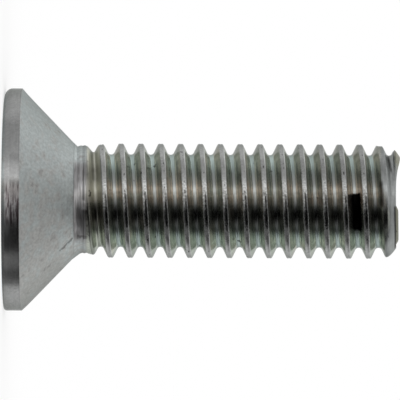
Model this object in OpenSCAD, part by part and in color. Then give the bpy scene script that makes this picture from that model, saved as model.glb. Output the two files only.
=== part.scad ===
// Countersunk screw that holds a brake disc to its hub: M6 x 1 rolled thread, 20 mm nominal length.
// One forged and rolled piece. It stands on its head: the flat of the head is on z = 0 and the
// thread points up the z axis. Sizes are in millimetres, angles in degrees.

/* [Head] */
// Diameter over the rim of the head
head_d = 11.2; // [10:0.1:13]
// Height of the rim, from the flat of the head to the start of the seat
rim_h = 0.88; // [0.5:0.01:1.2]
// Radius of the round between the flat and the rim
rim_round = 0.35; // [0.1:0.05:0.4]
// Included angle of the countersunk seat
seat_angle = 92; // [80:1:100]

/* [Neck] */
// Diameter of the plain neck, which is the blank that the thread was rolled on
neck_d = 5.44; // [5.2:0.02:5.6]
// Length of the plain neck between the seat and the thread
neck_len = 0.4; // [0.2:0.05:1.5]
// Radius of the fillet between the seat and the neck
neck_fillet = 0.25; // [0.1:0.05:0.4]
// Angle from the axis of the taper by which the neck falls into the first groove
neck_taper = 40; // [30:1:60]

/* [Thread] */
// Diameter over the crests
thread_d = 5.76; // [5.7:0.02:6]
// Distance from one crest to the next
pitch = 1; // [0.75:0.05:1.1]
// Width of the crest along the axis
crest_w = 0.2; // [0.1:0.01:0.25]
// Width of the rounded root along the axis
root_w = 0.26; // [0.15:0.01:0.3]
// Included angle between the two flanks of the groove
flank_angle = 60; // [55:1:65]
// Length over which the crests rise from the neck to their full height
runout_len = 0.9; // [0.5:0.1:2]
// Angle about the axis at which a crest reaches the end of the screw
thread_turn = 185; // [0:1:359]

/* [Tip] */
// Length over all, from the flat of the head to the end of the thread
overall_len = 19.85; // [12:0.05:40]
// Height of the chamfer at the end of the thread
tip_chamfer = 0.55; // [0.3:0.05:0.9]
// Angle of that chamfer from the axis
tip_angle = 50; // [30:1:55]
// Depth of the dish that thread rolling leaves in the end face
tip_dish = 0.2; // [0.1:0.05:0.4]
// Width of the flat ring between the chamfer and the dish
tip_ring = 0.35; // [0.2:0.05:0.6]

/* [Drive recess] */
// Width over two opposite lobes of the six-lobe recess
lobe_d = 5.6; // [4.8:0.05:6]
// Width over two opposite flutes of the recess
flute_d = 3.99; // [3.4:0.01:4.3]
// Radius of each lobe's end
lobe_r = 0.45; // [0.35:0.01:0.55]
// Depth of the straight walls of the recess
recess_depth = 2.2; // [1.5:0.1:2.4]
// Depth of the shallow cone below the straight walls
recess_cone = 0.5; // [0.2:0.05:0.7]
// Width that the shallow cone at the mouth of the recess has beyond the lobes
mouth_margin = 0.15; // [0.05:0.05:0.3]
// Slope of that cone from the flat of the head
mouth_slope = 12; // [5:1:30]

/* [Hidden] */
$fn = 96;

// Steps that each round of the outline is drawn with
round_steps = 6;
// Steps in one turn of the thread
turn_steps = 32;
// Steps in each arc of the recess
lobe_steps = 8;
// Length by which a cut, or a body that another one hides, runs past a face
cut_past = 0.5;

head_r = head_d / 2;
neck_r = neck_d / 2;
crest_r = thread_d / 2;

// Seat and neck: the seat falls from the rim to the neck, and a fillet eases the corner
seat_half = seat_angle / 2;
seat_end_z = rim_h + (head_r - neck_r) / tan(seat_half);
fillet_reach = neck_fillet * tan(seat_half / 2);
neck_end_z = seat_end_z + neck_len;

// Groove: the flanks run straight from the crest to a round root that touches them both
flank_half = flank_angle / 2;
flank_run = (pitch - crest_w - root_w) / 2;
flank_drop = flank_run / tan(flank_half);
root_round = root_w / 2 / cos(flank_half);
root_drop = root_round * (1 - sin(flank_half));
root_r = crest_r - flank_drop - root_drop;

// The taper of the neck ends inside the thread
taper_end_r = root_r - cut_past / 2;
taper_end_z = neck_end_z + (neck_r - taper_end_r) / tan(neck_taper);

// The thread starts inside the head, where it is smaller than the neck, and is cut off at the tip
buried_r = min(neck_r, crest_r) - (crest_r - root_r) / 2;
turns = ceil((overall_len - seat_end_z) / pitch) + 2;
thread_start_z = overall_len - (turns - 1) * pitch;

// Recess: the radius of a flute follows from the lobes and the widths, as each touches its neighbours
lobe_centre = lobe_d / 2 - lobe_r;
flute_r = (pow(lobe_centre, 2) + pow(flute_d / 2, 2) - lobe_centre * flute_d * cos(30) - pow(lobe_r, 2))
    / (2 * (lobe_r - flute_d / 2 + lobe_centre * cos(30)));
flute_centre = flute_d / 2 + flute_r;
// Direction from a lobe's centre to the next flute's centre, where the two arcs meet
meet_angle = atan2(flute_centre * sin(30), flute_centre * cos(30) - lobe_centre);

// Points on an arc about a centre, from one angle to another
function arc(centre, r, from, to, steps) =
    [for (i = [0 : steps]) let (a = from + (to - from) * i / steps) centre + r * [cos(a), sin(a)]];

// One pitch of the thread as [distance along the axis from the crest's middle, radius]
thread_section = [
    [-crest_w / 2, crest_r],
    [crest_w / 2, crest_r],
    [crest_w / 2 + flank_run, crest_r - flank_drop],
    [pitch / 2, root_r],
    [pitch - crest_w / 2 - flank_run, crest_r - flank_drop],
];

// Largest radius of the thread at a height: hidden in the neck, then rising to the crest
function runout_r(z) =
    buried_r + (crest_r - buried_r) * min(1, max(0, (z - neck_end_z) / runout_len));

// A point of the thread, so many steps round and at one point of the section
function thread_point(step, point) =
    let (turn = step / turn_steps)
    let (z = thread_start_z + turn * pitch + thread_section[point][0])
    let (r = min(thread_section[point][1], runout_r(z)))
    let (a = thread_turn + 360 * turn)
    [r * cos(a), r * sin(a), z];

// The rolled thread as one closed helical body, with a fan from the axis at each end
module thread_helix() {
    points_per_turn = len(thread_section);
    steps = turns * turn_steps;
    // The first point of the section goes one turn further, where it closes the last turn
    first_row = [for (s = [0 : steps + turn_steps]) thread_point(s, 0)];
    other_rows = [for (s = [0 : steps], p = [1 : points_per_turn - 1]) thread_point(s, p)];
    start_centre = [0, 0, thread_start_z];
    end_centre = [0, 0, thread_start_z + (turns + 1) * pitch];
    start_index = len(first_row) + len(other_rows);
    end_index = start_index + 1;

    function index(s, p) =
        p == points_per_turn ? s + turn_steps
        : p == 0 ? s
        : len(first_row) + s * (points_per_turn - 1) + p - 1;

    flanks = [for (s = [0 : steps - 1], p = [0 : points_per_turn - 1])
        each [
            [index(s, p), index(s, p + 1), index(s + 1, p)],
            [index(s + 1, p), index(s, p + 1), index(s + 1, p + 1)],
        ]];
    start_ramp = [for (s = [0 : turn_steps - 1]) [start_index, s, s + 1]];
    start_step = [for (p = [0 : points_per_turn - 1]) [start_index, index(0, p + 1), index(0, p)]];
    end_ramp = [for (s = [steps : steps + turn_steps - 1]) [end_index, s + 1, s]];
    end_step = [for (p = [0 : points_per_turn - 1]) [end_index, index(steps, p), index(steps, p + 1)]];
    polyhedron(
        points = concat(first_row, other_rows, [start_centre, end_centre]),
        faces = concat(flanks, start_ramp, start_step, end_ramp, end_step),
        convexity = 10
    );
}

// Space that the thread may fill: it ends in a chamfer and a dished end face
module thread_bounds() {
    outer_r = crest_r + cut_past;
    chamfer_r = crest_r - tip_chamfer * tan(tip_angle);
    chamfer_low_z = overall_len - tip_chamfer - cut_past / tan(tip_angle);
    rotate_extrude()
        polygon([
            [0, thread_start_z - pitch],
            [outer_r, thread_start_z - pitch],
            [outer_r, chamfer_low_z],
            [chamfer_r, overall_len],
            [chamfer_r - tip_ring, overall_len],
            [0, overall_len - tip_dish],
        ]);
}

// Head and neck, turned from one outline: flat, rim, seat, fillet, neck and taper
module head_and_neck() {
    rim_centre = [head_r - rim_round, rim_round];
    fillet_centre = [neck_r + neck_fillet, seat_end_z + fillet_reach];
    rotate_extrude()
        polygon(concat(
            [[0, 0]],
            arc(rim_centre, rim_round, -90, 0, round_steps),
            [[head_r, rim_h]],
            arc(fillet_centre, neck_fillet, 180 + seat_half, 180, round_steps),
            [[neck_r, neck_end_z], [taper_end_r, taper_end_z], [0, taper_end_z]]
        ));
}

// Six-lobe recess for the driver, with a shallow cone at its mouth and another at the bottom
module drive_recess() {
    section = [for (k = [0 : 5])
        let (lobe = 60 * k)
        each concat(
            arc(lobe_centre * [cos(lobe), sin(lobe)], lobe_r, lobe - meet_angle, lobe + meet_angle, lobe_steps),
            arc(flute_centre * [cos(lobe + 30), sin(lobe + 30)], flute_r,
                lobe + meet_angle + 180, lobe + 240 - meet_angle, lobe_steps)
        )];
    // The mouth's cone has its tip inside the recess and its wide end outside the head
    mouth_h = (lobe_d / 2 + mouth_margin) * tan(mouth_slope) + cut_past;
    translate([0, 0, -cut_past])
        cylinder(r1 = mouth_h / tan(mouth_slope), r2 = 0, h = mouth_h);
    translate([0, 0, -cut_past])
        linear_extrude(cut_past + recess_depth)
            polygon(section);
    translate([0, 0, recess_depth])
        cylinder(r1 = flute_d / 2, r2 = 0, h = recess_cone);
}

// The whole screw
module screw() {
    color("silver")
        difference() {
            union() {
                head_and_neck();
                intersection() {
                    thread_helix();
                    thread_bounds();
                }
            }
            drive_recess();
        }
}

screw();
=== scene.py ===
"""Dress the brake disc screw: a fine rolled thread, a forged head with its recess, and the zinc plate."""

import logging
import math
from collections.abc import Callable
from dataclasses import dataclass, field
from enum import Enum
from typing import Any

import bmesh
import bpy
import numpy as np
from mathutils import Matrix, Vector


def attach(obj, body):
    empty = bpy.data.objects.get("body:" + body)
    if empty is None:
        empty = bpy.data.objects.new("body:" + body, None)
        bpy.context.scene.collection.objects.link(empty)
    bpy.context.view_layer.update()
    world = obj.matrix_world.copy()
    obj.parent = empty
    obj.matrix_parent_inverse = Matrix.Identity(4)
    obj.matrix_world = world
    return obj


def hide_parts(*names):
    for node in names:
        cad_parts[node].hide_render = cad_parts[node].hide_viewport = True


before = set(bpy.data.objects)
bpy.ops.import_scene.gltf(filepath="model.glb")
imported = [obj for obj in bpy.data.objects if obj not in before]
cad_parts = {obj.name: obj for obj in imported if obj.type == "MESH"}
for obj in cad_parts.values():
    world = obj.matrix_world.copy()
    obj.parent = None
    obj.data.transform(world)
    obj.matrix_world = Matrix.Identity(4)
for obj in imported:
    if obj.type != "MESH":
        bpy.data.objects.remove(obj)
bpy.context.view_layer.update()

LOG = logging.getLogger("screw")
METRES_PER_MM = 0.001
QUARTER_TURN = 0.25
FULL_TURN = 2 * math.pi

Pair = tuple[float, float]
Colour = tuple[float, float, float, float]
# Bands about the axis: start and end in turns, width of the fade, and share. They paint light and shade into
# a colour.
Bands = tuple[tuple[float, float, float, float], ...]


class LoopSide(Enum):
    """Open end of the swept thread that the next rings grow from."""

    HEAD = "head"
    TIP = "tip"


def smooth_step(value: np.ndarray, low: float, high: float) -> np.ndarray:
    """Ease values from 0 at low to 1 at high."""
    t = np.clip((value - low) / (high - low), 0.0, 1.0)
    return t * t * (3 - 2 * t)


def arc(centre: Pair, radii: Pair, start: float, end: float, steps: int) -> list[Pair]:
    """Points, as radius and height, on an elliptic arc between two angles in degrees."""
    angles = [math.radians(start + (end - start) * i / steps) for i in range(steps + 1)]
    return [(centre[0] + radii[0] * math.cos(a), centre[1] + radii[1] * math.sin(a)) for a in angles]


@dataclass(frozen=True)
class ThreadForm:
    """Form of the rolled M6 thread, in millimetres."""

    pitch: float = 1.0
    crest_r: float = 2.878
    crest_half: float = 0.062
    crest_dip: float = 0.008
    crest_round: float = 0.08
    root_round: float = 0.195
    flank_turn: float = 64.3
    crest_at: float = 0.363
    round_steps: int = 4
    flank_steps: int = 4
    turn_steps: int = 120

    @property
    def flank_run(self) -> float:
        """Length along the axis of one straight flank."""
        rounds = (self.crest_round + self.root_round) * math.sin(math.radians(self.flank_turn))
        return self.pitch / 2 - self.crest_half - rounds

    @property
    def root_r(self) -> float:
        """Radius at the middle of the root."""
        turn = math.radians(self.flank_turn)
        rounds = (self.crest_round + self.root_round) * (1 - math.cos(turn))
        return self.crest_r - rounds - self.flank_run * math.tan(turn)

    def half_section(self) -> list[Pair]:
        """Outline of the thread from the middle of a crest to the middle of the next root.

        Returns:
            Pairs of the distance along the axis and the radius.
        """
        turns = [math.radians(self.flank_turn * i / self.round_steps) for i in range(self.round_steps + 1)]
        crest = [(self.crest_half + self.crest_round * math.sin(a),
                  self.crest_r - self.crest_round * (1 - math.cos(a))) for a in turns]
        root = [(self.pitch / 2 - self.root_round * math.sin(a),
                 self.root_r + self.root_round * (1 - math.cos(a))) for a in reversed(turns)]
        (z0, r0), (z1, r1) = crest[-1], root[0]
        shares = [i / self.flank_steps for i in range(1, self.flank_steps)]
        flank = [(z0 + (z1 - z0) * t, r0 + (r1 - r0) * t) for t in shares]
        return [(0.0, self.crest_r - self.crest_dip)] + crest + flank + root

    def section(self) -> list[Pair]:
        """Outline of one pitch about a crest, as distance along the axis and radius."""
        half = self.half_section()
        return [(-z, r) for z, r in reversed(half[1:])] + half


class Sock:
    """An output socket of a node tree, with arithmetic that adds Math nodes."""

    def __init__(self, tree: "Tree", socket: bpy.types.NodeSocket) -> None:
        """Keep the socket and the tree that new nodes go into."""
        self.tree = tree
        self.socket = socket

    def other(self, name: str) -> "Sock":
        """Another output of the same node."""
        return Sock(self.tree, self.socket.node.outputs[name])

    def ease(self, low: float, high: float) -> "Sock":
        """Ease the value from 0 to 1.

        Args:
            low: Value that gives 0, which may be the larger one.
            high: Value that gives 1.

        Returns:
            The eased value, level beyond the two.
        """
        if low > high:
            return 1 - self.ease(high, low)
        ends = {"Value": self, "From Min": low, "From Max": high}
        return self.tree.add("ShaderNodeMapRange", {"interpolation_type": "SMOOTHSTEP"}, ends)

    def band(self, low: float, high: float, soft: float) -> "Sock":
        """Mask that is 1 between two values and fades out over a soft width past them."""
        return self.ease(low - soft, low) * self.ease(high + soft, high)

    def line(self, half: float) -> "Sock":
        """Mask of a soft line where the value is zero, by its half width."""
        return abs(self).ease(half, 0.4 * half)

    def __add__(self, value: "Value") -> "Sock":
        """Sum."""
        return self.tree.math("ADD", self, value)

    __radd__ = __add__

    def __sub__(self, value: "Value") -> "Sock":
        """Difference."""
        return self.tree.math("SUBTRACT", self, value)

    def __rsub__(self, value: "Value") -> "Sock":
        """Difference with the number first."""
        return self.tree.math("SUBTRACT", value, self)

    def __mul__(self, value: "Value") -> "Sock":
        """Product."""
        return self.tree.math("MULTIPLY", self, value)

    __rmul__ = __mul__

    def __truediv__(self, value: "Value") -> "Sock":
        """Quotient."""
        return self.tree.math("DIVIDE", self, value)

    def __rtruediv__(self, value: "Value") -> "Sock":
        """Quotient with the number first."""
        return self.tree.math("DIVIDE", value, self)

    def __neg__(self) -> "Sock":
        """Negative."""
        return self.tree.math("MULTIPLY", self, -1.0)

    def __abs__(self) -> "Sock":
        """Size without its sign."""
        return self.tree.math("ABSOLUTE", self)


Value = Sock | float


class Tree:
    """A node tree that is filled from code."""

    def __init__(self, owner: bpy.types.Material | bpy.types.World) -> None:
        """Empty the owner's tree.

        Args:
            owner: The material or world that is to be filled.
        """
        owner.use_nodes = True
        self.nodes = owner.node_tree.nodes
        self.links = owner.node_tree.links
        self.nodes.clear()

    def add(self, kind: str, settings: dict[str, Any] | None = None,
            sockets: dict[str | int, Any] | None = None, out: str | int = 0) -> Sock:
        """Add a node.

        Args:
            kind: Type of the node.
            settings: Settings of the node, set first. "stops" sets a ramp's positions and colours.
            sockets: Values or links of its inputs, by name or number.
            out: Name or number of the output that is wanted.

        Returns:
            That output.
        """
        node = self.nodes.new(kind)
        for name, value in (settings or {}).items():
            if name == "stops":
                self.set_stops(node.color_ramp.elements, value)
            else:
                setattr(node, name, value)
        for name, value in (sockets or {}).items():
            if isinstance(value, Sock):
                self.links.new(value.socket, node.inputs[name])
            else:
                node.inputs[name].default_value = value
        return Sock(self, node.outputs[out])

    def set_stops(self, elements: bpy.types.ColorRampElements, stops: list[tuple[float, Colour]]) -> None:
        """Set the stops of a ramp.

        Args:
            elements: The ramp's elements, two when it is new.
            stops: Position and colour of each stop, in order.
        """
        for i, (position, colour) in enumerate(stops):
            element = elements[i] if i < 2 else elements.new(position)
            element.position = position
            element.color = colour

    def finish(self, kind: str, shader: Sock) -> None:
        """Link the last shader to a new output node."""
        node = self.nodes.new(kind)
        self.links.new(shader.socket, node.inputs["Surface"])

    def math(self, operation: str, *values: Value) -> Sock:
        """Result of a Math node."""
        return self.add("ShaderNodeMath", {"operation": operation}, dict(enumerate(values)))

    def blend(self, share: Value, first: Sock | Colour, second: Sock | Colour) -> Sock:
        """Mix of two colours, by the share of the second."""
        return self.add("ShaderNodeMix", {"data_type": "RGBA"}, {0: share, 6: first, 7: second}, 2)

    def scale(self, vector: Sock | Colour, share: Value) -> Sock:
        """A vector or colour times a share."""
        first = vector if isinstance(vector, Sock) else vector[:3]
        return self.add("ShaderNodeVectorMath", {"operation": "SCALE"}, {0: first, "Scale": share})

    def noise(self, vector: Sock, scale: float, detail: float) -> Sock:
        """Noise with some grains to a unit of the vector and some finer layers."""
        return self.add("ShaderNodeTexNoise", {}, {"Vector": vector, "Scale": scale, "Detail": detail})

    def vector(self, x: Value, y: Value, z: Value) -> Sock:
        """Vector of three numbers."""
        return self.add("ShaderNodeCombineXYZ", {}, {"X": x, "Y": y, "Z": z})


@dataclass(frozen=True)
class Spot:
    """Where a shaded point lies on the screw, and the noises read there. Lengths are in millimetres."""

    tree: Tree
    x: Sock
    y: Sock
    z: Sock
    radius: Sock
    turn: Sock
    from_top: Sock
    helix: Sock
    along_pitch: Sock
    from_crest: Sock
    grain: Sock
    cloud: Sock
    spark: Sock
    streak: Sock

    @classmethod
    def read(cls, tree: Tree, crest_at: float) -> "Spot":
        """Add the nodes that read the place.

        Args:
            tree: The tree that the nodes go into.
            crest_at: Height of a crest at zero turn.

        Returns:
            The place.
        """
        place = tree.scale(tree.add("ShaderNodeTexCoord", {}, {}, "Object"), 1 / METRES_PER_MM)
        x = tree.add("ShaderNodeSeparateXYZ", {}, {0: place})
        y, z = x.other("Y"), x.other("Z")
        turn = tree.math("ARCTAN2", y, x) / FULL_TURN
        helix = z - turn
        along_pitch = tree.math("WRAP", helix - crest_at, 0.5, -0.5)
        return cls(tree=tree, x=x, y=y, z=z, radius=tree.math("SQRT", x * x + y * y), turn=turn,
                   from_top=0.5 - abs(turn), helix=helix, along_pitch=along_pitch,
                   from_crest=abs(along_pitch), grain=tree.noise(place, 7.0, 3.0),
                   cloud=tree.noise(place, 2.2, 3.0), spark=tree.noise(place, 10.0, 2.0),
                   streak=tree.noise(tree.vector(x * 1.1, y * 1.1, z * 9.0), 1.0, 3.0))

    def past(self, turn: float) -> Sock:
        """Turns past a direction about the axis, from -0.5 to 0.5."""
        return self.tree.math("WRAP", self.turn - turn, 0.5, -0.5)

    def side(self, low: float, high: float, soft: float) -> Sock:
        """Mask between two directions about the axis, in turns."""
        return self.turn.band(low, high, soft)

    def tone(self, bands: Bands) -> Sock:
        """Sum of bands about the axis, each times its share: light and shade painted into a colour."""
        return sum(share * self.side(low, high, soft) for low, high, soft, share in bands)


@dataclass(frozen=True)
class Parts:
    """Masks of the screw's parts at a shaded point."""

    thread: Sock
    neck: Sock
    rim: Sock
    end: Sock
    lip: Sock
    first_turn: Sock
    last_turn: Sock
    crest: Sock


@dataclass(frozen=True)
class ZincFinish:
    """Zinc plate with a pale green passivation, brighter and smoother in the rolled thread.

    Heights are in millimetres and directions in turns about the axis. Bands about the axis paint highlights
    and shade into the colour on one side.
    """

    seat_cool: Colour = (0.405, 0.436, 0.434, 1.0)
    seat_warm: Colour = (0.402, 0.405, 0.394, 1.0)
    rim_light: Colour = (0.455, 0.46, 0.457, 1.0)
    rim_dark: Colour = (0.425, 0.428, 0.425, 1.0)
    worn_light: Colour = (0.62, 0.6, 0.605, 1.0)
    worn_dark: Colour = (0.17, 0.14, 0.145, 1.0)
    neck_light: Colour = (0.5, 0.495, 0.5, 1.0)
    neck_dark: Colour = (0.34, 0.333, 0.333, 1.0)
    # Colour of the painted highlight lines on the neck.
    painted_glint: Colour = (0.85, 0.84, 0.83, 1.0)
    crest: Colour = (0.5, 0.508, 0.5, 1.0)
    flank_olive: Colour = (0.487, 0.5, 0.45, 1.0)
    flank_top: Colour = (0.545, 0.565, 0.51, 1.0)
    flank_low: Colour = (0.545, 0.6, 0.525, 1.0)
    flank_tan: Colour = (0.56, 0.495, 0.425, 1.0)
    first_groove: Colour = (0.47, 0.465, 0.405, 1.0)
    root: Colour = (0.425, 0.442, 0.43, 1.0)
    root_cool: Colour = (0.382, 0.455, 0.437, 1.0)
    end: Colour = (0.36, 0.375, 0.372, 1.0)
    end_olive: Colour = (0.25, 0.25, 0.2, 1.0)
    # Colour of the dark marks: dirt, and painted shade in creases and crevices.
    dirt_and_shade: Colour = (0.02, 0.019, 0.02, 1.0)
    residue: Colour = (0.003, 0.003, 0.003, 1.0)
    edge_tint: Colour = (0.55, 0.565, 0.55, 1.0)
    seat_rough: float = 0.4
    rim_rough: float = 0.21
    neck_rough: float = 0.46
    crest_rough: float = 0.16
    flank_rough: float = 0.19
    end_rough: float = 0.3
    along_axis: float = 0.8
    rim_from_r: Pair = (5.48, 5.54)
    rim_to_z: Pair = (0.91, 0.87)
    rim_edge_z: float = 0.87
    neck_z: float = 3.53
    neck_to_r: Pair = (3.1, 2.95)
    neck_dark_z: Pair = (4.03, 4.25)
    neck_painted_shine_z: Pair = (3.93, 4.13)
    first_turn_to: Pair = (5.26, 5.18)
    last_turn_from: Pair = (18.95, 19.1)
    groove_slope_z: float = 4.54
    groove_bottom_z: float = 4.85
    end_from: Pair = (19.22, 19.38)
    lip_from: Pair = (19.63, 19.66)
    horn_from: Pair = (19.58, 19.64)
    horn_turn: float = -0.453
    horn_groove_z: float = 19.303
    horn_notch_z: float = 19.575
    crevice_z: float = 19.62
    stain_z: float = 19.2
    residue_z: float = 17.85
    residue_turn: Pair = (-101 / 360, -52 / 360)
    scratch: tuple[Pair, Pair] = ((2.57, 2.81), (1.87, 3.5))
    # Painted light: bands of lighter and darker colour about the axis, standing in for highlights and shade
    # reflected on one side.
    rim_painted_light: Bands = (
        (-0.312, -0.292, 0.012, -0.22), (-0.274, -0.258, 0.01, -0.25), (-0.252, -0.228, 0.013, 0.2),
        (-0.203, -0.185, 0.02, -0.35), (-0.136, -0.12, 0.012, -0.28))
    rim_outer_painted_light: Bands = (
        (-0.312, -0.292, 0.012, 0.22), (-0.274, -0.258, 0.01, 0.5), (-0.252, -0.228, 0.013, 0.5),
        (-0.194, -0.178, 0.012, -0.25))
    neck_painted_light: Bands = ((-0.27, -0.165, 0.02, 0.6), (-0.226, -0.2, 0.012, -0.35))
    neck_lip_painted_light: Bands = ((-0.245, -0.228, 0.01, 1.1),)
    left_flank_painted_light: Bands = ((-0.235, -0.195, 0.02, 0.5), (-0.155, -0.125, 0.02, -0.25))
    right_flank_painted_light: Bands = (
        (-0.255, -0.235, 0.012, -0.35), (-0.16, -0.115, 0.015, -0.2), (-0.085, -0.06, 0.015, 0.2))
    crest_painted_light: Bands = (
        (-0.258, -0.228, 0.012, -0.4), (-0.222, -0.18, 0.012, -0.35), (-0.125, -0.085, 0.02, -0.32))
    crest_left_painted_light: Bands = (
        (-0.258, -0.228, 0.012, 1.1), (-0.222, -0.18, 0.012, 0.35), (-0.125, -0.085, 0.02, 0.32))
    crest_edge_painted_light: Bands = ((-0.245, -0.21, 0.012, 0.2), (-0.185, -0.115, 0.02, -0.45))
    # Bands of the roots that paint highlights and shade along them, each with its place past the root's
    # middle and its half width, in pitches.
    root_painted_light: tuple[tuple[float, float, float, float, float, float], ...] = (
        (-0.268, -0.24, 0.012, 0.4, 0.1, 0.15), (-0.15, -0.06, 0.02, 0.45, 0.19, 0.11),
        (-0.15, -0.06, 0.02, -0.35, -0.075, 0.07), (-0.06, 0.03, 0.03, 0.35, 0.01, 0.07))

    def make(self, screw: "Screw") -> bpy.types.Material:
        """Write the material.

        Args:
            screw: The screw, whose crests, flanks, roots, seat and rim differ.

        Returns:
            The material.
        """
        material = bpy.data.materials.new("zinc_plate")
        tree = Tree(material)
        spot = Spot.read(tree, screw.thread.crest_at)
        part = self.find_parts(spot, screw)
        bump = tree.add("ShaderNodeBump", {}, {"Height": self.height(spot, part), "Distance": METRES_PER_MM})
        metal = {"Base Color": self.colour(spot, part), "Roughness": self.roughness(spot, part),
                 "Metallic": 1 - 0.85 * part.lip, "Normal": bump, "Specular Tint": self.edge_tint}
        turned = {"Anisotropic": self.along_axis, "Anisotropic Rotation": QUARTER_TURN}
        plain = tree.add("ShaderNodeBsdfPrincipled", {}, metal)
        brushed = tree.add("ShaderNodeBsdfPrincipled", {}, metal | turned)
        is_turned = tree.math("MAXIMUM", part.thread, tree.math("MAXIMUM", part.rim, part.neck))
        shader = tree.add("ShaderNodeMixShader", {}, {0: is_turned, 1: plain, 2: brushed})
        tree.finish("ShaderNodeOutputMaterial", shader)
        return material

    def find_parts(self, spot: Spot, screw: "Screw") -> Parts:
        """Tell the parts of the screw from each other.

        Args:
            spot: Where the point lies.
            screw: The screw.

        Returns:
            The masks of the parts.
        """
        tree, turn, z = spot.tree, spot.turn, spot.z
        end_line = 3.6 * tree.math("MINIMUM", tree.math("MAXIMUM", -0.2 - turn, 0.0), 0.11)
        end_line = end_line + 0.15 * turn.ease(-0.18, -0.13) + 0.25 * turn.ease(0.3, 0.48)
        end_line = end_line + 0.16 * (spot.cloud - 0.5) - 0.05 * spot.side(-0.235, -0.18, 0.02)
        start = spot.helix.ease(4.2, 4.4) * turn.ease(0.1, 0.45)
        last_turn = spot.helix.ease(*self.last_turn_from)
        return Parts(
            thread=z.ease(screw.neck_end_z, screw.neck_end_z + 0.2),
            neck=z.ease(self.neck_z, self.neck_z + 0.04) * spot.radius.ease(*self.neck_to_r),
            rim=spot.radius.ease(*self.rim_from_r) * z.ease(*self.rim_to_z),
            end=(z + end_line).ease(*self.end_from),
            lip=self.lip_mask(spot),
            first_turn=spot.helix.ease(*self.first_turn_to) * (1 - start),
            last_turn=last_turn,
            crest=spot.from_crest.ease(0.165, 0.095) * (1 - 0.75 * last_turn))

    def colour(self, spot: Spot, part: Parts) -> Sock:
        """Colour of the head, the thread and the end, with dark marks and painted shade on them.

        Args:
            spot: Where the point lies.
            part: Masks of the parts.

        Returns:
            The colour.
        """
        tree, turn = spot.tree, spot.turn
        head = tree.blend(part.rim, self.seat_colour(spot), self.rim_colour(spot))
        head = tree.blend(part.neck, head, self.neck_colour(spot))
        thread = tree.blend(0.85 * part.first_turn, self.thread_colour(spot, part), self.groove_colour(spot))
        colour = tree.blend(part.thread, head, thread)
        # Painted shade: the end darker on one side, less so towards its very end.
        painted_end_shade = turn.ease(-0.27, -0.21) * (1 - 0.4 * turn.ease(-0.17, -0.1))
        painted_end_shade = painted_end_shade * (0.45 - 0.25 * spot.z.ease(19.35, 19.45)) * turn.ease(0.45, 0.25)
        end_share = (0.4 + 0.7 * spot.streak + 0.5 * spot.grain) * (1 - painted_end_shade)
        colour = tree.blend(part.end, colour, tree.scale(self.end, end_share))
        colour = tree.blend(part.lip, colour, self.end_olive)
        # Dark marks, partly dirt and partly painted shade.
        colour = tree.blend(self.dirt_and_shade_mask(spot, part), colour, self.dirt_and_shade)
        return tree.blend(self.residue_mask(spot), colour, self.residue)

    def roughness(self, spot: Spot, part: Parts) -> Sock:
        """Roughness, least on the crests and most on the neck.

        Args:
            spot: Where the point lies.
            part: Masks of the parts.

        Returns:
            The roughness.
        """
        flank = self.flank_rough + 0.06 * spot.from_crest.ease(0.32, 0.16)
        left_half = spot.along_pitch.ease(-0.01, -0.05)
        thread = flank + (self.crest_rough - flank + 0.12 * left_half) * part.crest
        thread = thread + 0.16 * part.first_turn * spot.from_top.ease(0.27, 0.24)
        thread = thread + (self.end_rough + 0.3 * part.lip - thread) * part.end
        head = self.seat_rough + (self.rim_rough - self.seat_rough) * part.rim
        head = head + (self.neck_rough - head) * part.neck
        return head + (thread - head) * part.thread + 0.1 * (spot.grain - 0.5)

    def height(self, spot: Spot, part: Parts) -> Sock:
        """Height of the fine relief in millimetres, most on one side of the crests.

        Args:
            spot: Where the point lies.
            part: Masks of the parts.

        Returns:
            The height.
        """
        head = 0.002 * spot.grain + 0.003 * spot.spark * (part.rim + part.neck)
        crest = (0.004 + 0.011 * spot.side(-0.3, -0.16, 0.04)) * spot.spark * part.crest
        return head + (crest * (1 - part.end) - head) * part.thread

    def seat_colour(self, spot: Spot) -> Sock:
        """Mottled grey green of the seat, cooler on one side, with random smudges, painted light and shade in
        bands about the axis, and painted shade in a patch beside the neck.

        Args:
            spot: Where the point lies.

        Returns:
            The colour.
        """
        tree = spot.tree
        near_neck = spot.z.ease(2.65, 3.2)
        warm = (spot.cloud + 0.03 * spot.x - 0.1 * near_neck).ease(0.36, 0.64)
        colour = tree.blend(warm, self.seat_cool, self.seat_warm)
        # Painted shade in a patch beside the neck on one side, and random smudges.
        smudge_and_shade = near_neck * spot.side(-0.25, -0.217, 0.02) * spot.cloud.ease(0.3, 0.6)
        smudge_and_shade = smudge_and_shade + spot.cloud.ease(0.6, 0.72)
        # Painted light and shade in bands about the axis; also lighter near the neck and darker where
        # smudged.
        tone = 1 + 0.1 * spot.side(-0.36, -0.31, 0.03) - 0.07 * abs(spot.turn).ease(0.13, 0.09)
        tone = tone + 0.07 * near_neck - 0.18 * smudge_and_shade
        return tree.scale(colour, (0.62 + 0.76 * spot.grain) * tone)

    def rim_colour(self, spot: Spot) -> Sock:
        """Rim, plain grey with worn streaks on one side and a thin dark edge, with painted highlights and
        shade in bands about the axis.

        Args:
            spot: Where the point lies.

        Returns:
            The colour.
        """
        tree = spot.tree
        plain = tree.blend(spot.streak.ease(0.38, 0.62), self.rim_dark, self.rim_light)
        streaks = tree.blend(spot.streak.ease(0.42, 0.6), self.worn_dark, self.worn_light)
        worn = spot.side(-0.265, -0.222, 0.015) * spot.z.ease(0.1, 0.35)
        # Painted highlights and shade in bands about the axis, stronger near the outer corner.
        tone = 1 + spot.tone(self.rim_painted_light) - 0.12 * (spot.z - self.rim_edge_z).line(0.035)
        tone = tone + spot.z.ease(0.46, 0.34) * spot.tone(self.rim_outer_painted_light)
        return tree.scale(tree.blend(worn, plain, streaks), (0.8 + 0.4 * spot.grain) * tone)

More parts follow.
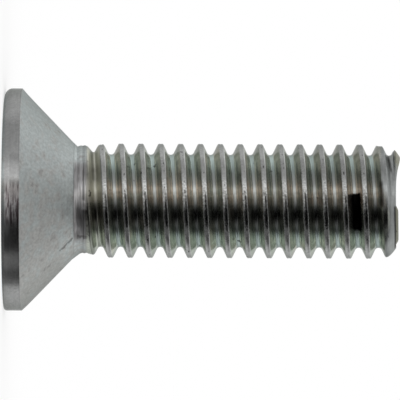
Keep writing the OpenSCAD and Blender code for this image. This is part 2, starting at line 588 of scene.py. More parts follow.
    def neck_colour(self, spot: Spot) -> Sock:
        """Neck, plain as the seat with turned streaks on one side and a dark edge to the first groove, with
        painted highlights: bright lines and lighter bands on that side.

        Args:
            spot: Where the point lies.

        Returns:
            The colour.
        """
        tree, z = spot.tree, spot.z
        worn = spot.side(-0.35, -0.14, 0.04)
        streaks = tree.blend(spot.streak.ease(0.4, 0.56), self.neck_dark, self.neck_light)
        colour = tree.blend(worn, tree.scale(self.seat_colour(spot), 1.11), streaks)
        dark = (z - self.neck_dark_z[0]).line(0.04) + (z - self.neck_dark_z[1]).line(0.08)
        # Painted light: lighter and darker bands about the axis, and lighter towards the top.
        tone = 1 + z.ease(3.92, 3.82) * spot.tone(self.neck_painted_light) - 0.5 * worn * dark
        tone = tone + z.ease(3.9, 3.97) * spot.tone(self.neck_lip_painted_light)
        tone = tone + 0.22 * z.ease(3.98, 3.9) * spot.from_top.ease(0.145, 0.12)
        # Painted highlight: two bright lines on the side where the lamp is reflected.
        painted_shine = (z - self.neck_painted_shine_z[0]).line(0.035) + (z - self.neck_painted_shine_z[1]).line(0.035)
        painted_shine = painted_shine * (spot.turn + 0.03 * (spot.grain - 0.5)).band(-0.285, -0.235, 0.015)
        return tree.blend(0.7 * painted_shine, tree.scale(colour, tone), self.painted_glint)

    def groove_colour(self, spot: Spot) -> Sock:
        """Groove between the neck and the first crest, tan above and greener below, with painted light
        towards the top and painted shade along its slope and bottom.

        Args:
            spot: Where the point lies.

        Returns:
            The colour.
        """
        tree, from_top = spot.tree, spot.from_top
        off_lamp = 1 - spot.side(-0.31, -0.25, 0.02)
        # Painted shade: dark lines along the slope and the bottom, weaker on the lamp's side.
        slope = (0.4 + 0.3 * off_lamp) * (spot.z - 1.1 * spot.turn - self.groove_slope_z).line(0.13)
        bottom = 0.5 * off_lamp * (spot.helix - self.groove_bottom_z).line(0.1)
        # Painted light: lighter towards the top and in bands across the groove.
        tone = 1 + 0.35 * from_top.ease(0.18, 0.08) + 0.1 * from_top.ease(0.34, 0.38)
        tone = tone + 0.18 * from_top.band(0.16, 0.24, 0.02) - slope - bottom
        colour = tree.blend(0.6 * from_top.ease(0.32, 0.36), self.first_groove, self.flank_low)
        return tree.scale(colour, (0.8 + 0.4 * spot.grain) * tone)

    def thread_colour(self, spot: Spot, part: Parts) -> Sock:
        """Thread: bright crests, olive flanks and pale roots, with painted shade on one side, darker towards
        the far end, and painted highlights and shade along the roots.

        Args:
            spot: Where the point lies.
            part: Masks of the parts.

        Returns:
            The colour.
        """
        tree, from_top = spot.tree, spot.from_top
        tint = tree.noise(tree.vector(0.5 * spot.x, 0.5 * spot.y, spot.z), 1.1, 1.0)
        # Painted shade: the thread darker in a band about the axis.
        painted_shade = 0.29 * spot.turn.ease(-0.228, -0.2) * spot.turn.ease(-0.125, -0.185)
        patchy = (0.62 + 0.76 * tint) * (1 - painted_shade)
        root = tree.blend(abs(from_top - 0.25).ease(0.07, 0.13), self.root, self.root_cool)
        # Painted highlight: roots lighter towards the top.
        root = tree.scale(root, patchy * (1 + 0.45 * from_top.ease(0.125, 0.055)))
        flank = tree.scale(self.flank_colour(spot, tint), patchy)
        colour = tree.blend(part.crest, flank, self.crest_colour(spot))
        on_root = spot.from_crest.ease(0.34, 0.43) * (0.25 + 0.75 * spot.z.ease(4.7, 5.2))
        past_root = tree.math("WRAP", spot.along_pitch - 0.5, 0.5, -0.5)
        tone = 1 - 0.15 * spot.z.ease(12.5, 16.0) * from_top.ease(0.27, 0.24)
        # Painted highlights and shade along the roots, in bands about the axis.
        for low, high, soft, share, at, half in self.root_painted_light:
            tone = tone + share * spot.side(low, high, soft) * (past_root - at).line(half)
        return tree.scale(tree.blend(on_root, colour, root), tone)

    def flank_colour(self, spot: Spot, tint: Sock) -> Sock:
        """Olive flanks, lighter towards the top and bottom as painted light, tan or green at random, with a
        painted tan reflection on one side and painted light and shade on the left and right flanks.

        Args:
            spot: Where the point lies.
            tint: Broad noise that shifts them to tan or green.

        Returns:
            The colour.
        """
        tree, from_top, along = spot.tree, spot.from_top, spot.along_pitch
        # Painted light: lighter copies of the olive towards the top and bottom, greener at the bottom.
        colour = tree.blend(from_top.ease(0.32, 0.37), self.flank_olive, self.flank_low)
        colour = tree.blend(from_top.ease(0.15, 0.1), colour, self.flank_top)
        # Painted reflection: flanks tan on the side where the lamp is reflected.
        painted_tan_reflection = spot.side(-0.3, -0.25, 0.03) * spot.cloud.ease(0.28, 0.56)
        colour = tree.blend(painted_tan_reflection, colour, self.flank_tan)
        colour = tree.blend(0.5 * tint.ease(0.5, 0.75), colour, self.flank_tan)
        colour = tree.blend(0.5 * tint.ease(0.5, 0.25), colour, self.flank_low)
        # Painted light and shade: right flanks lighter towards the top, left flanks darker there, and bands
        # about the axis.
        right = along.ease(0.08, 0.14) * along.ease(0.45, 0.38)
        above = 0.38 * from_top.ease(0.165, 0.13) + 0.25 * from_top.band(0.16, 0.205, 0.015)
        tone = 1.04 + right * (above + spot.tone(self.right_flank_painted_light))
        left = along.ease(-0.08, -0.14) * along.ease(-0.38, -0.28)
        above = 0.36 * from_top.ease(0.095, 0.115) * from_top.ease(0.24, 0.165)
        tone = tone + left * (spot.tone(self.left_flank_painted_light) - above)
        share = 0.8 + 0.2 * spot.from_crest.ease(0.14, 0.34)
        return tree.scale(colour, share * (0.7 + 0.2 * spot.grain + 0.4 * spot.cloud) * tone)

    def crest_colour(self, spot: Spot) -> Sock:
        """Bright crests with painted sparkle on one side, and painted highlights and shade in bands about the
        axis on the whole crest, its left half and its edge.

        Args:
            spot: Where the point lies.

        Returns:
            The colour.
        """
        tree, along = spot.tree, spot.along_pitch
        # Painted light and shade in bands about the axis, on the whole crest, its left half and its edge; the
        # edge darker near the top.
        edge = spot.tone(self.crest_edge_painted_light) - 0.35 * spot.from_top.band(0.125, 0.17, 0.015)
        tone = 1 + spot.tone(self.crest_painted_light) + along.ease(-0.07, -0.11) * edge
        tone = tone + along.ease(0.02, -0.04) * spot.tone(self.crest_left_painted_light)
        # Painted highlight: stronger sparkle on the side where the lamp is reflected.
        painted_sparkle = 0.55 + 1.1 * spot.side(-0.28, -0.2, 0.03)
        return tree.scale(self.crest, (1 + painted_sparkle * (spot.spark - 0.5)) * tone)

    def lip_mask(self, spot: Spot) -> Sock:
        """Olive faces of the ragged end: the lip on one side and the horn across from it.

        Args:
            spot: Where the point lies.

        Returns:
            The mask.
        """
        lip = spot.side(-0.225, -0.05, 0.015) * spot.z.ease(*self.lip_from)
        from_horn = abs(spot.past(self.horn_turn)) + 0.06 * (spot.grain - 0.5)
        horn = from_horn.ease(0.1, 0.05) * spot.z.ease(*self.horn_from)
        return (lip + horn) * (spot.radius + 0.4 * (spot.grain - 0.5)).ease(1.8, 2.05)

    def dirt_and_shade_mask(self, spot: Spot, part: Parts) -> Sock:
        """Dark marks: seam of the crests, specks and scratch, and painted shade in the crease of the neck, on
        the last turn and in the crevices of the end.

        Args:
            spot: Where the point lies.
            part: Masks of the parts.

        Returns:
            The mask.
        """
        tree, turn, z = spot.tree, spot.turn, spot.z
        wobble = 0.06 * (spot.grain - 0.5)
        seam_side = turn.ease(-0.285, -0.25) * turn.ease(-0.155, -0.18)
        seam = tree.noise(tree.vector(spot.x, spot.y, z), 5.0, 2.0) + 0.16 * seam_side
        seam = 0.9 * seam.ease(0.62, 0.68) * (spot.along_pitch - 0.01 + wobble).line(0.045)
        speck = 0.75 * spot.cloud.ease(0.69, 0.72)
        # Painted shade in the crease where the neck meets the seat, stronger on one side.
        crease_shade = (0.15 + 0.25 * spot.side(-0.34, -0.17, 0.04)) * (z - self.neck_z).line(0.035)
        crease_shade = crease_shade * spot.radius.ease(3.2, 3.0)
        nick = 0.45 * (turn + 0.132 + 0.4 * wobble).line(0.009) * z.band(3.75, 4.15, 0.08)
        on_edge = spot.radius.ease(1.85, 1.95)
        # Painted shadow in the crevice between the end's edge and its lip.
        crevice_shadow = 0.95 * on_edge * spot.side(-0.228, -0.045, 0.012)
        crevice_shadow = crevice_shadow * (z - self.crevice_z - 0.4 * (turn + 0.2)).line(0.055)
        stain = 0.7 * spot.side(-0.3, -0.245, 0.02) * (spot.helix - self.stain_z).line(0.15)
        shade = 0.4 * part.last_turn * spot.side(-0.175, -0.09, 0.03) * z.ease(19.22, 19.1)
        past_horn = spot.past(self.horn_turn)
        groove = 0.75 * past_horn.band(-0.1, 0.083, 0.025)
        groove = groove * (z - self.horn_groove_z - 1.3 * past_horn).line(0.085)
        notch = 0.7 * on_edge * past_horn.band(-0.08, 0.068, 0.02)
        notch = notch * (z - self.horn_notch_z + wobble).line(0.04)
        worst = (seam * (1 - part.last_turn) + speck) * part.thread
        for mark in (0.5 * self.scratch_mask(spot), crease_shade, nick, crevice_shadow, stain, shade, groove, notch):
            worst = tree.math("MAXIMUM", worst, mark)
        return worst

    def residue_mask(self, spot: Spot) -> Sock:
        """Black residue in one groove, flat above and rounded below.

        Args:
            spot: Where the point lies.

        Returns:
            The mask.
        """
        turn = spot.turn
        across = abs(spot.z - self.residue_z - 0.7 * turn) + 0.03 * (spot.grain - 0.5)
        corner = across * across * across * across
        start, end = self.residue_turn
        mask = across.ease(0.245, 0.175) * turn.ease(start, start + 0.006)
        return mask * (turn + 4.0 * corner).ease(end + 0.006, end - 0.006)

    def scratch_mask(self, spot: Spot) -> Sock:
        """Mark of the scratch that runs down the seat to the neck.

        Args:
            spot: Where the point lies.

        Returns:
            The mask.
        """
        (x0, z0), (x1, z1) = self.scratch
        run = math.hypot(x1 - x0, z1 - z0)
        along = ((spot.x - x0) * (x1 - x0) + (spot.z - z0) * (z1 - z0)) / run
        across = ((spot.x - x0) * (z1 - z0) - (spot.z - z0) * (x1 - x0)) / run + 0.15 * (spot.grain - 0.5)
        mask = across.line(0.055) * along.band(0.1, run - 0.05, 0.1)
        return mask * spot.y.ease(-0.5, -1.0)


@dataclass
class Screw:
    """The screw: thread, neck, seat, rim, recess and rolled end, in millimetres until it is finished."""

    thread: ThreadForm = field(default_factory=ThreadForm)
    neck_r: float = 2.7
    neck_end_z: float = 4.058
    neck_lip: float = 0.025
    neck_ridges: tuple[Pair, ...] = ((0.02, 1.0), (0.2, 0.5))
    ridge_half: float = 0.05
    neck_rings: tuple[float, ...] = (0.03, 0.06, 0.09, 0.12, 0.15, 0.18, 0.21, 0.24, 0.28)
    neck_swell: float = 0.1
    swell_z: float = 3.7
    swell_half: float = 0.11
    swell_from_r: float = 2.4
    swell_zone: Pair = (3.3, 4.2)
    neck_shift: float = -0.06
    neck_from_r: Pair = (2.1, 2.2)
    neck_from_z: Pair = (3.6, 3.8)
    neck_to_z: Pair = (4.1, 4.8)
    groove_rise: float = 0.55
    crest_lead: float = 0.3
    crest_rise: float = 1.4
    neck_fillet: float = 0.02
    seat_half_deg: float = 46.1
    head_r: float = 5.6
    rim_h: float = 0.89
    rim_edge: float = 0.03
    rim_shift: float = -0.038
    rim_from_r: Pair = (4.6, 5.1)
    rim_to_z: Pair = (0.8, 1.3)
    corner_radial: float = 0.45
    corner_axial: float = 0.4
    corner_low: float = 0.35
    flat_radii: tuple[float, ...] = (4.95, 4.6, 4.0, 3.4, 3.05)
    fillet_steps: int = 6
    seat_steps: int = 10
    edge_steps: int = 4
    rim_steps: int = 4
    corner_steps: int = 10
    end_z: float = 19.72
    end_r: float = 2.2
    end_lean: Pair = (0.03, 0.06)
    horn: float = 0.23
    horn_at_deg: float = 197.0
    horn_width_deg: float = 30.0
    horn_widen: float = 0.1
    far_widen: float = 0.14
    shoulder_r: float = 2.8
    shoulder_len: float = 0.47
    shoulder_bend: float = 1.5
    shoulder_slope: float = 0.3
    last_crest_drop: float = 0.08
    last_crest_from: Pair = (1.4, 0.8)
    lip_h: float = 0.12
    lip_start_deg: Pair = (270.0, 284.0)
    lip_stop_deg: Pair = (332.0, 352.0)
    # Rings of the lip: inset, rise where it stands proud, and drop elsewhere.
    lip_rings: tuple[tuple[float, float, float], ...] = (
        (0.03, -0.1, 0.0), (0.1, -0.2, 0.02), (0.115, 0.6, 0.03), (0.15, 0.95, 0.04), (0.2, 1.0, 0.05),
        (0.32, 0.6, 0.07))
    dish_rings: tuple[Pair, ...] = ((1.5, 0.1), (0.7, 0.19))
    lobe_d: float = 5.6
    flute_d: float = 3.99
    lobe_r: float = 0.45
    recess_depth: float = 2.2
    recess_cone: float = 0.5
    wall_rings: tuple[float, ...] = (0.26, 0.5, 1.2)
    # Rings of the round at the bottom of the wall: inset, and height above the bottom.
    bottom_rings: tuple[Pair, ...] = ((0.0, 0.12), (0.03, 0.03), (0.12, 0.0))
    cone_inset: float = 0.2
    cone_rings: Pair = (0.1, 0.55)
    mouth_margin: float = 0.15
    mouth_step: float = 0.02
    mouth_slope_deg: float = 12.0
    smooth_deg: float = 38.0
    cut_gap: float = 1e-5
    weld_gap: float = 1e-4
    ring_r: float = 0.0
    ring_z: float = 0.0

    def build(self) -> bpy.types.Object:
        """Model the whole screw as one closed mesh.

        Returns:
            The finished object, in metres at the origin.
        """
        piece = self.sweep_thread()
        self.move_points(piece, self.shape_thread)
        self.trim_ends(piece)
        bpy.ops.object.mode_set(mode="EDIT")
        self.draw_head()
        self.draw_recess()
        self.draw_tip()
        self.move_points(piece, self.settle_head)
        self.finish(piece)
        return piece

    def sweep_thread(self) -> bpy.types.Object:
        """Draw one pitch of the thread and sweep it up the axis with a Screw modifier.

        Returns:
            The object that holds the swept thread.
        """
        form = self.thread
        section = form.section()
        start_turn = math.floor(self.neck_end_z - form.crest_at - form.pitch / 2) - 1
        turns = math.ceil(self.end_z / form.pitch) - start_turn + 1
        base_z = form.crest_at + start_turn * form.pitch
        bpy.ops.object.select_all(action="DESELECT")
        bpy.ops.mesh.primitive_plane_add(size=form.pitch)
        piece = bpy.context.object
        piece.name = "zinc_screw"
        bpy.ops.object.mode_set(mode="EDIT")
        bpy.ops.mesh.select_all(action="SELECT")
        bpy.ops.mesh.merge(type="CENTER")
        bpy.ops.transform.translate(value=(section[0][1], 0.0, base_z + section[0][0]))
        for (z0, r0), (z1, r1) in zip(section, section[1:]):
            bpy.ops.mesh.extrude_region_move(TRANSFORM_OT_translate={"value": (r1 - r0, 0.0, z1 - z0)})
        bpy.ops.object.mode_set(mode="OBJECT")
        sweep = piece.modifiers.new("sweep", "SCREW")
        sweep.axis = "Z"
        sweep.angle = FULL_TURN
        sweep.screw_offset = form.pitch
        sweep.iterations = turns
        sweep.steps = form.turn_steps
        sweep.render_steps = form.turn_steps
        bpy.ops.object.modifier_apply(modifier=sweep.name)
        bpy.ops.object.mode_set(mode="EDIT")
        bpy.ops.mesh.select_all(action="SELECT")
        bpy.ops.mesh.remove_doubles(threshold=form.pitch * 1e-3)
        bpy.ops.object.mode_set(mode="OBJECT")
        return piece

    def move_points(self, piece: bpy.types.Object, move: Callable[[np.ndarray], np.ndarray]) -> None:
        """Move all points of a mesh in code, and leave the object in object mode.

        Args:
            piece: The object.
            move: Takes the points as rows and gives the moved rows.
        """
        if piece.mode == "EDIT":
            bpy.ops.object.mode_set(mode="OBJECT")
        points = np.empty(len(piece.data.vertices) * 3)
        piece.data.vertices.foreach_get("co", points)
        piece.data.vertices.foreach_set("co", move(points.reshape(-1, 3)).ravel())
        piece.data.update()

    def neck_profile(self, z: np.ndarray) -> np.ndarray:
        """Radius of the plain blank under the thread, with the lip at the end of the neck."""
        past_end = z - self.neck_end_z
        ridges = sum(share * np.exp(-((past_end + back) / self.ridge_half) ** 2)
                     for back, share in self.neck_ridges)
        return self.neck_r + self.neck_lip * ridges

    def horn_share(self, angle: np.ndarray) -> np.ndarray:
        """Share of the horn that the last turn leaves on the end, by angle about the axis."""
        off = np.degrees(angle) - self.horn_at_deg
        off = (off + 180) % 360 - 180
        return np.exp(-(off / self.horn_width_deg) ** 2)

    def low_share(self, angle: np.ndarray) -> np.ndarray:
        """Share of the side across from the horn, which is the lower one in the picture."""
        return np.maximum(np.cos(angle), 0.0) ** 2

    def edge_radius(self, angle: np.ndarray) -> np.ndarray:
        """Radius of the edge of the end, wider at the horn and on the side across from it."""
        widen = self.horn_widen * self.horn_share(angle) + self.far_widen * self.low_share(angle)
        return self.end_r + widen

    def end_height(self, angle: np.ndarray) -> np.ndarray:
        """Height of the uneven end of the screw, by angle about the axis."""
        lean = self.end_lean[0] * np.cos(angle) + self.end_lean[1] * np.sin(angle)
        return self.end_z + lean + self.horn * self.horn_share(angle)

    def shape_thread(self, points: np.ndarray) -> np.ndarray:
        """Let the thread run out into the neck and draw in its last turns.

        Args:
            points: Points of the swept thread.

        Returns:
            The moved points.
        """
        r = np.hypot(points[:, 0], points[:, 1])
        angle = np.arctan2(points[:, 1], points[:, 0])
        z = points[:, 2]
        blank = self.neck_profile(z)
        groove = smooth_step(z, self.neck_end_z, self.neck_end_z + self.groove_rise)
        crest = smooth_step(z, self.neck_end_z - self.crest_lead, self.neck_end_z + self.crest_rise)
        rise = r - blank
        new_r = blank + np.where(rise < 0, rise * groove, rise * crest)
        far, near = self.last_crest_from
        drop = self.last_crest_drop * smooth_step(z, self.end_z - far, self.end_z - near)
        new_r = np.minimum(new_r, self.thread.crest_r - drop)
        to_end = self.end_height(angle) - z
        t = np.clip(1 - to_end / self.shoulder_len, 0.0, 1.0)
        end_r = self.edge_radius(angle)
        limit = end_r + (self.shoulder_r - end_r) * (1 - t ** self.shoulder_bend)
        limit += self.shoulder_slope * np.maximum(to_end - self.shoulder_len, 0.0)
        new_r = np.minimum(new_r, limit)
        points[:, :2] *= (new_r / r)[:, None]
        return points

    def level_end(self, points: np.ndarray, sign: float) -> np.ndarray:
        """Shift points along the axis so that the uneven end becomes level, or back."""
        angle = np.arctan2(points[:, 1], points[:, 0])
        points[:, 2] += sign * (self.end_height(angle) - self.end_z)
        return points

    def cut(self, height: float, keep_above: bool) -> None:
        """Cut the mesh with a level plane.

        Args:
            height: Height of the plane.
            keep_above: Whether the part above the plane stays.
        """
        bpy.ops.object.mode_set(mode="EDIT")
        bpy.ops.mesh.select_all(action="SELECT")
        bpy.ops.mesh.bisect(plane_co=(0.0, 0.0, height), plane_no=(0.0, 0.0, 1.0), clear_inner=keep_above,
                            clear_outer=not keep_above, threshold=self.cut_gap)
        bpy.ops.mesh.select_all(action="SELECT")
        bpy.ops.mesh.remove_doubles(threshold=self.weld_gap)
        bpy.ops.object.mode_set(mode="OBJECT")

    def trim_ends(self, piece: bpy.types.Object) -> None:
        """Cut the swept thread off at the neck and at the uneven end.

        Args:
            piece: The object that holds the swept thread.
        """
        self.cut(self.neck_end_z, keep_above=True)
        self.move_points(piece, lambda points: self.level_end(points, -1.0))
        self.cut(self.end_z, keep_above=False)
        self.move_points(piece, lambda points: self.level_end(points, 1.0))

    def select_loop(self, side: LoopSide) -> None:
        """Select the open edge loop at one end of the thread.

        Args:
            side: The end whose loop is wanted.
        """
        mesh = bpy.context.object.data
        bm = bmesh.from_edit_mesh(mesh)
        bpy.ops.mesh.select_all(action="DESELECT")
        middle = (self.neck_end_z + self.end_z) / 2
        for edge in bm.edges:
            at_tip = edge.verts[0].co.z > middle
            if edge.is_boundary and at_tip == (side is LoopSide.TIP):
                edge.select_set(True)
        bmesh.update_edit_mesh(mesh)

    def place_ring(self, place: Callable[[float], Pair]) -> None:
        """Put each point of the selected ring where a form says.

        Args:
            place: Gives the radius and height for an angle about the axis.
        """
        mesh = bpy.context.object.data
        bm = bmesh.from_edit_mesh(mesh)
        for vert in bm.verts:
            if vert.select:
                angle = math.atan2(vert.co.y, vert.co.x)
                radius, height = place(angle)
                vert.co = (radius * math.cos(angle), radius * math.sin(angle), height)
        bmesh.update_edit_mesh(mesh)

    def extrude_to(self, radius: float, height: float) -> None:
        """Extrude the selected ring to a new radius and height.

        Args:
            radius: Radius of the new ring.
            height: Height of the new ring.
        """
        scale = radius / self.ring_r
        bpy.ops.mesh.extrude_region_move(TRANSFORM_OT_translate={"value": (0.0, 0.0, height - self.ring_z)})
        bpy.ops.transform.resize(value=(scale, scale, 1.0), center_override=(0.0, 0.0, height))
        self.ring_r = radius
        self.ring_z = height

    def extrude_form(self, place: Callable[[float], Pair]) -> None:
        """Extrude the selected ring to a form that gives radius and height for an angle about the axis."""
        bpy.ops.mesh.extrude_region_move()
        self.place_ring(place)

    def head_outline(self) -> list[Pair]:
        """Outline of neck, seat, rim and flat, from the end of the neck down.

        Returns:
            Pairs of radius and height.
        """
        half = math.radians(self.seat_half_deg)
        seat_end_z = self.rim_h + (self.head_r - self.neck_r) / math.tan(half)
        neck_z = [self.neck_end_z - down for down in self.neck_rings]
        neck = [(float(self.neck_profile(np.array(z))), z) for z in neck_z]
        fillet = arc((self.neck_r + self.neck_fillet, seat_end_z + self.neck_fillet * math.tan(half / 2)),
                     (self.neck_fillet,) * 2, 180, 180 + self.seat_half_deg, self.fillet_steps)
        edge = arc((self.head_r - self.rim_edge, self.rim_h - self.rim_edge * math.tan(half / 2)),
                   (self.rim_edge,) * 2, self.seat_half_deg, 0, self.edge_steps)
        (r0, z0), (r1, z1) = fillet[-1], edge[0]
        shares = [i / self.seat_steps for i in range(1, self.seat_steps)]
        seat = [(r0 + (r1 - r0) * t, z0 + (z1 - z0) * t) for t in shares]
        corner = arc((self.head_r - self.corner_radial, self.corner_axial),
                     (self.corner_radial, self.corner_axial), 0, -90, self.corner_steps)
        z0, z1 = edge[-1][1], corner[0][1]
        rim = [(self.head_r, z0 + (z1 - z0) * i / self.rim_steps) for i in range(1, self.rim_steps)]
        flat = [(radius, 0.0) for radius in self.flat_radii]
        return neck + fillet + seat + edge + rim + corner + flat

    def draw_head(self) -> None:
        """Extrude the neck, seat, rim and flat from the lower loop of the thread."""
        self.select_loop(LoopSide.HEAD)
        self.ring_r = float(self.neck_profile(np.array(self.neck_end_z)))
        self.ring_z = self.neck_end_z
        self.place_ring(lambda angle: (self.ring_r, self.ring_z))
        for radius, height in self.head_outline():
            self.extrude_to(radius, height)

    def lobe_radius(self, angle: float) -> float:
        """Radius of the six-lobe recess in one direction.

        Args:
            angle: Direction about the axis in radians.

        Returns:
            Distance from the axis to the wall.
        """
        lobe_c = self.lobe_d / 2 - self.lobe_r
        half_flute = self.flute_d / 2
        c30 = math.cos(math.radians(30))
        flute_r = ((lobe_c ** 2 + half_flute ** 2 - 2 * lobe_c * half_flute * c30 - self.lobe_r ** 2)
                   / (2 * (self.lobe_r - half_flute + lobe_c * c30)))
        flute_c = half_flute + flute_r
        meet = math.atan2(flute_c * 0.5, flute_c * c30 - lobe_c)
        switch = math.atan2(self.lobe_r * math.sin(meet), lobe_c + self.lobe_r * math.cos(meet))
        sixth = math.radians(60)
        off = abs((angle + sixth / 2) % sixth - sixth / 2)
        if off < switch:
            return lobe_c * math.cos(off) + math.sqrt(self.lobe_r ** 2 - (lobe_c * math.sin(off)) ** 2)
        off = sixth / 2 - off
        return flute_c * math.cos(off) - math.sqrt(flute_r ** 2 - (flute_c * math.sin(off)) ** 2)

    def mouth_place(self, angle: float, share: float) -> Pair:
        """Place on the shallow cone at the mouth, a share of the way in to the lobes."""
        mouth_r = self.lobe_d / 2 + self.mouth_margin
        radius = mouth_r + (self.lobe_radius(angle) + self.mouth_step - mouth_r) * share
        return radius, (mouth_r - radius) * math.tan(math.radians(self.mouth_slope_deg))

    def draw_recess(self) -> None:
        """Sink the six-lobe recess into the flat of the head and close its bottom."""
        self.extrude_to(self.lobe_d / 2 + self.mouth_margin, 0.0)
        for share in (0.5, 1.0):
            self.extrude_form(lambda angle: self.mouth_place(angle, share))
        wall = [(0.0, height) for height in self.wall_rings]
        bottom = [(inset, self.recess_depth - up) for inset, up in self.bottom_rings]
        for inset, height in wall + bottom:
            self.extrude_form(lambda angle: (self.lobe_radius(angle) - inset, height))
        first, second = self.cone_rings
        self.ring_r = self.flute_d / 2 - self.cone_inset
        self.ring_z = self.recess_depth + self.recess_cone * first
        self.extrude_form(lambda angle: (self.ring_r, self.ring_z))
        self.extrude_to(self.ring_r / 2, self.recess_depth + self.recess_cone * second)
        bpy.ops.mesh.extrude_region_move()
        bpy.ops.mesh.merge(type="CENTER")
        bpy.ops.transform.translate(value=(0.0, 0.0, self.recess_cone * (1 - second)))

    def lip_place(self, angle: float, inset: float, rise: float, drop: float) -> Pair:
        """Place on the ragged lip inside the end, which stands proud on part of its round.

        Args:
            angle: Direction about the axis in radians.
            inset: Distance in from the end's edge.
            rise: Share of the lip's height where it stands proud.
            drop: Depth below the end's edge elsewhere.

        Returns:
            Radius and height.
        """
        at = np.array(angle % FULL_TURN)
        proud = smooth_step(at, *np.radians(self.lip_start_deg))
        proud = proud * (1 - smooth_step(at, *np.radians(self.lip_stop_deg)))
        height = self.end_height(at) + self.lip_h * rise * proud - drop * (1 - proud)
        return float(self.edge_radius(at) - inset), float(height)

    def draw_tip(self) -> None:
        """Close the rolled end with its ragged lip and a shallow dish."""
        self.select_loop(LoopSide.TIP)
        for inset, rise, drop in self.lip_rings:
            self.extrude_form(lambda angle: self.lip_place(angle, inset, rise, drop))
        for radius, depth in self.dish_rings:
            self.extrude_form(lambda angle: (radius, self.end_z - depth))
        bpy.ops.mesh.extrude_region_move()
        bpy.ops.mesh.merge(type="CENTER")
        bpy.ops.mesh.select_all(action="SELECT")
        bpy.ops.mesh.normals_make_consistent(inside=False)

    def settle_head(self, points: np.ndarray) -> np.ndarray:
        """Give the head its forging faults: a swell on the neck, a sharp low corner and a shifted rim.

        Args:
            points: Points of the screw.

        Returns:
            The moved points.
        """
        r = np.hypot(points[:, 0], points[:, 1])
        angle = np.arctan2(points[:, 1], points[:, 0])
        z = points[:, 2]
        low_side = self.low_share(angle)
        swell = self.neck_swell * low_side * np.exp(-((z - self.swell_z) / self.swell_half) ** 2)
        at_neck = (r > self.swell_from_r) & (z > self.swell_zone[0]) & (z < self.swell_zone[1])
        new_r = np.where(at_neck, r + swell, r)
        sharp = 1 - (1 - self.corner_low) * low_side
        in_corner = r > self.head_r - self.corner_radial - self.weld_gap
        in_corner &= z < self.corner_axial + self.weld_gap
        new_r = np.where(in_corner, self.head_r - (self.head_r - r) * sharp, new_r)
        points[:, 2] = np.where(in_corner, z * sharp, z)
        points[:, :2] *= (new_r / np.maximum(r, 1e-9))[:, None]
        on_rim = smooth_step(r, *self.rim_from_r) * (1 - smooth_step(z, *self.rim_to_z))
        on_neck = smooth_step(r, *self.neck_from_r) * smooth_step(z, *self.neck_from_z)
        on_neck = on_neck * (1 - smooth_step(z, *self.neck_to_z))
        points[:, 0] += self.rim_shift * on_rim + self.neck_shift * on_neck
        return points

    def finish(self, piece: bpy.types.Object) -> None:
        """Bring the screw to metres and shade it smooth.

        Args:
            piece: The closed screw, in object mode.
        """
        piece.data.transform(Matrix.Scale(METRES_PER_MM, 4))
        piece.data.update()
        bpy.ops.object.select_all(action="DESELECT")
        piece.select_set(True)
        bpy.context.view_layer.objects.active = piece
        bpy.ops.object.shade_smooth_by_angle(angle=math.radians(self.smooth_deg))


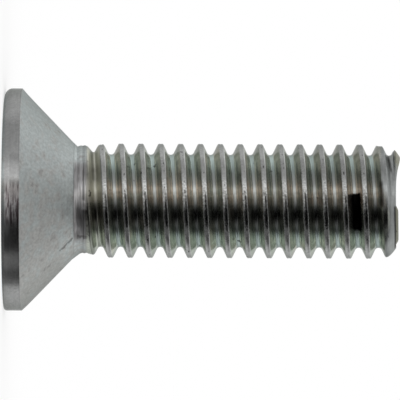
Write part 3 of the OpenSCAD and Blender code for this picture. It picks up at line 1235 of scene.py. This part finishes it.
@dataclass
class Studio:
    """Floor, light and the camera at the photograph's view."""

    distance: float = 0.3
    pixels_per_mm: float = 19.84
    frame_pixels: int = 400
    aim_z: float = 9.854 * METRES_PER_MM
    aim_x: float = -0.048 * METRES_PER_MM
    roll_deg: float = 0.245
    head_r: float = 5.6 * METRES_PER_MM
    top_level: float = 2.0
    dome_level: float = 1.1
    up_level: float = 0.76
    down_share: float = 0.3
    down_level: float = 0.4
    floor_size: float = 4.0
    floor_colour: Colour = (0.92, 0.92, 0.92, 1.0)
    floor_glow: float = 1.08
    glow_share: float = 0.5
    near_floor: Pair = (0.02, 0.006)
    most_spread: float = 2.0
    # Light of the sides: angle from the camera's side in degrees, level, and warmth.
    sides: tuple[tuple[float, float, float], ...] = (
        (-180, 0.75, 0), (-120, 0.76, 0), (-111, 0.68, 0), (-104, 0.48, 0), (-97, 0.26, 0), (-87, 0.11, 0),
        (-79, 0.1, 0), (-70, 0.18, 0), (-63, 0.17, 0), (-56, 0.1, 0), (-49, 0.025, 0), (-41, 0.003, 0),
        (-31, 0.003, 0), (-23, 0.015, 0), (-15, 0.07, 0), (-9, 0.15, 0), (-3, 0.26, 0), (4, 0.38, 0.2),
        (11, 0.5, 0.3), (19, 0.75, 0.2), (25, 1.15, 0), (31, 1.25, 0), (37, 0.95, 0), (45, 0.68, 0),
        (54, 0.56, 0), (64, 0.51, 0), (78, 0.47, 0), (90, 0.5, 0), (97, 0.58, 0), (104, 0.68, 0),
        (145, 0.72, 0), (180, 0.75, 0))

    def build_camera(self) -> bpy.types.Object:
        """Place the camera so that the screw's axis runs across the picture with its head on the left.

        Returns:
            The camera.
        """
        half_field = self.frame_pixels / 2 / self.pixels_per_mm * METRES_PER_MM / self.distance
        data = bpy.data.cameras.new("camera")
        data.sensor_fit = "AUTO"
        data.lens = data.sensor_width / 2 / half_field
        data.clip_start = 0.01
        data.clip_end = 10.0
        camera = bpy.data.objects.new("camera", data)
        bpy.context.scene.collection.objects.link(camera)
        roll = math.radians(self.roll_deg)
        right = Vector((-math.sin(roll), 0.0, math.cos(roll)))
        up = Vector((-math.cos(roll), 0.0, -math.sin(roll)))
        back = right.cross(up)
        place = Matrix((right, up, back)).transposed().to_4x4()
        place.translation = Vector((self.aim_x, 0.0, self.aim_z)) + back * self.distance
        camera.matrix_world = place
        bpy.context.scene.camera = camera
        return camera

    def grey(self, level: float) -> Colour:
        """Grey of a light level, as a share of the brightest level."""
        return (level / self.top_level,) * 3 + (1.0,)

    def side_colour(self, tree: Tree, x: Sock, y: Sock, spread: Value = 1.0) -> Sock:
        """Light of the studio's sides that the metal reflects, by direction about the axis.

        Args:
            tree: The tree that the nodes go into.
            x: Place or direction along X.
            y: Place or direction along Y.
            spread: What the angle from the camera's side is multiplied by.

        Returns:
            The colour, as a share of the brightest level.
        """
        turn = spread * (tree.math("ARCTAN2", -x, -y) / FULL_TURN) + 0.5
        stops = []
        for angle, level, warm in self.sides:
            share = level / self.top_level
            colour = (share * (1 + 0.08 * warm), share, share * (1 - 0.12 * warm), 1.0)
            stops.append((angle / 360 + 0.5, colour))
        return tree.add("ShaderNodeValToRGB", {"stops": stops}, {"Fac": turn})

    def build_floor(self) -> bpy.types.Object:
        """Lay the pale floor that the screw stands on.

        Returns:
            The floor.
        """
        bpy.ops.object.select_all(action="DESELECT")
        bpy.ops.mesh.primitive_plane_add(size=self.floor_size)
        floor = bpy.context.object
        floor.name = "floor"
        material = bpy.data.materials.new("floor")
        tree = Tree(material)
        place = tree.add("ShaderNodeTexCoord", {}, {}, "Object")
        glossy = tree.add("ShaderNodeLightPath", {}, {}, "Is Glossy Ray")
        x = tree.add("ShaderNodeSeparateXYZ", {}, {0: place})
        y = x.other("Y")
        radius = tree.math("SQRT", x * x + y * y)
        near = radius.ease(*self.near_floor)
        past_head = tree.math("MAXIMUM", 2 * radius - self.head_r, 0.001)
        spread = tree.math("MINIMUM", 2 * radius / past_head, self.most_spread)
        side = self.side_colour(tree, x, y, spread)
        side = tree.blend(self.down_share * near, side, self.grey(self.down_level))
        plain = tree.add("ShaderNodeBsdfDiffuse", {}, {"Color": self.floor_colour})
        white = tree.add("ShaderNodeEmission", {}, {"Strength": self.floor_glow})
        white_share = self.glow_share * glossy.other("Is Camera Ray")
        seen = tree.add("ShaderNodeMixShader", {}, {0: white_share, 1: plain, 2: white})
        glow = tree.add("ShaderNodeEmission", {}, {"Color": side, "Strength": self.top_level})
        shader = tree.add("ShaderNodeMixShader", {}, {0: glossy, 1: seen, 2: glow})
        tree.finish("ShaderNodeOutputMaterial", shader)
        floor.data.materials.append(material)
        return floor

    def build_world(self) -> None:
        """Surround the screw with plain white light, and the metal with the studio's light and dark sides."""
        world = bpy.data.worlds.new("studio")
        bpy.context.scene.world = world
        tree = Tree(world)
        place = tree.add("ShaderNodeTexCoord", {}, {}, "Generated")
        glossy = tree.add("ShaderNodeLightPath", {}, {}, "Is Glossy Ray")
        x = tree.add("ShaderNodeSeparateXYZ", {}, {0: place})
        y, z = x.other("Y"), x.other("Z")
        side = self.side_colour(tree, x, y)
        dome = tree.blend(z.ease(0.55, 0.95), self.grey(self.dome_level), self.grey(self.up_level))
        behind = z.ease(0.12, 0.4) * y.ease(-0.2, 0.25)
        side = tree.blend(tree.math("MAXIMUM", behind, z.ease(0.75, 0.93)), side, dome)
        colour = tree.blend(glossy, self.grey(1.0), side)
        shader = tree.add("ShaderNodeBackground", {}, {"Color": colour, "Strength": self.top_level})
        tree.finish("ShaderNodeOutputWorld", shader)


def main() -> None:
    """Build the screw and its studio."""
    logging.basicConfig(level=logging.INFO, format="%(name)s: %(message)s")
    bpy.context.scene.view_settings.view_transform = "Standard"
    studio = Studio()
    studio.build_camera()
    studio.build_world()
    studio.build_floor()
    screw = Screw()
    piece = screw.build()
    piece.data.materials.clear()
    piece.data.materials.append(ZincFinish().make(screw))
    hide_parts("screw")
    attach(piece, "root")
    LOG.info("%s: %d faces", piece.name, len(piece.data.polygons))


if __name__ == "__main__":
    main()
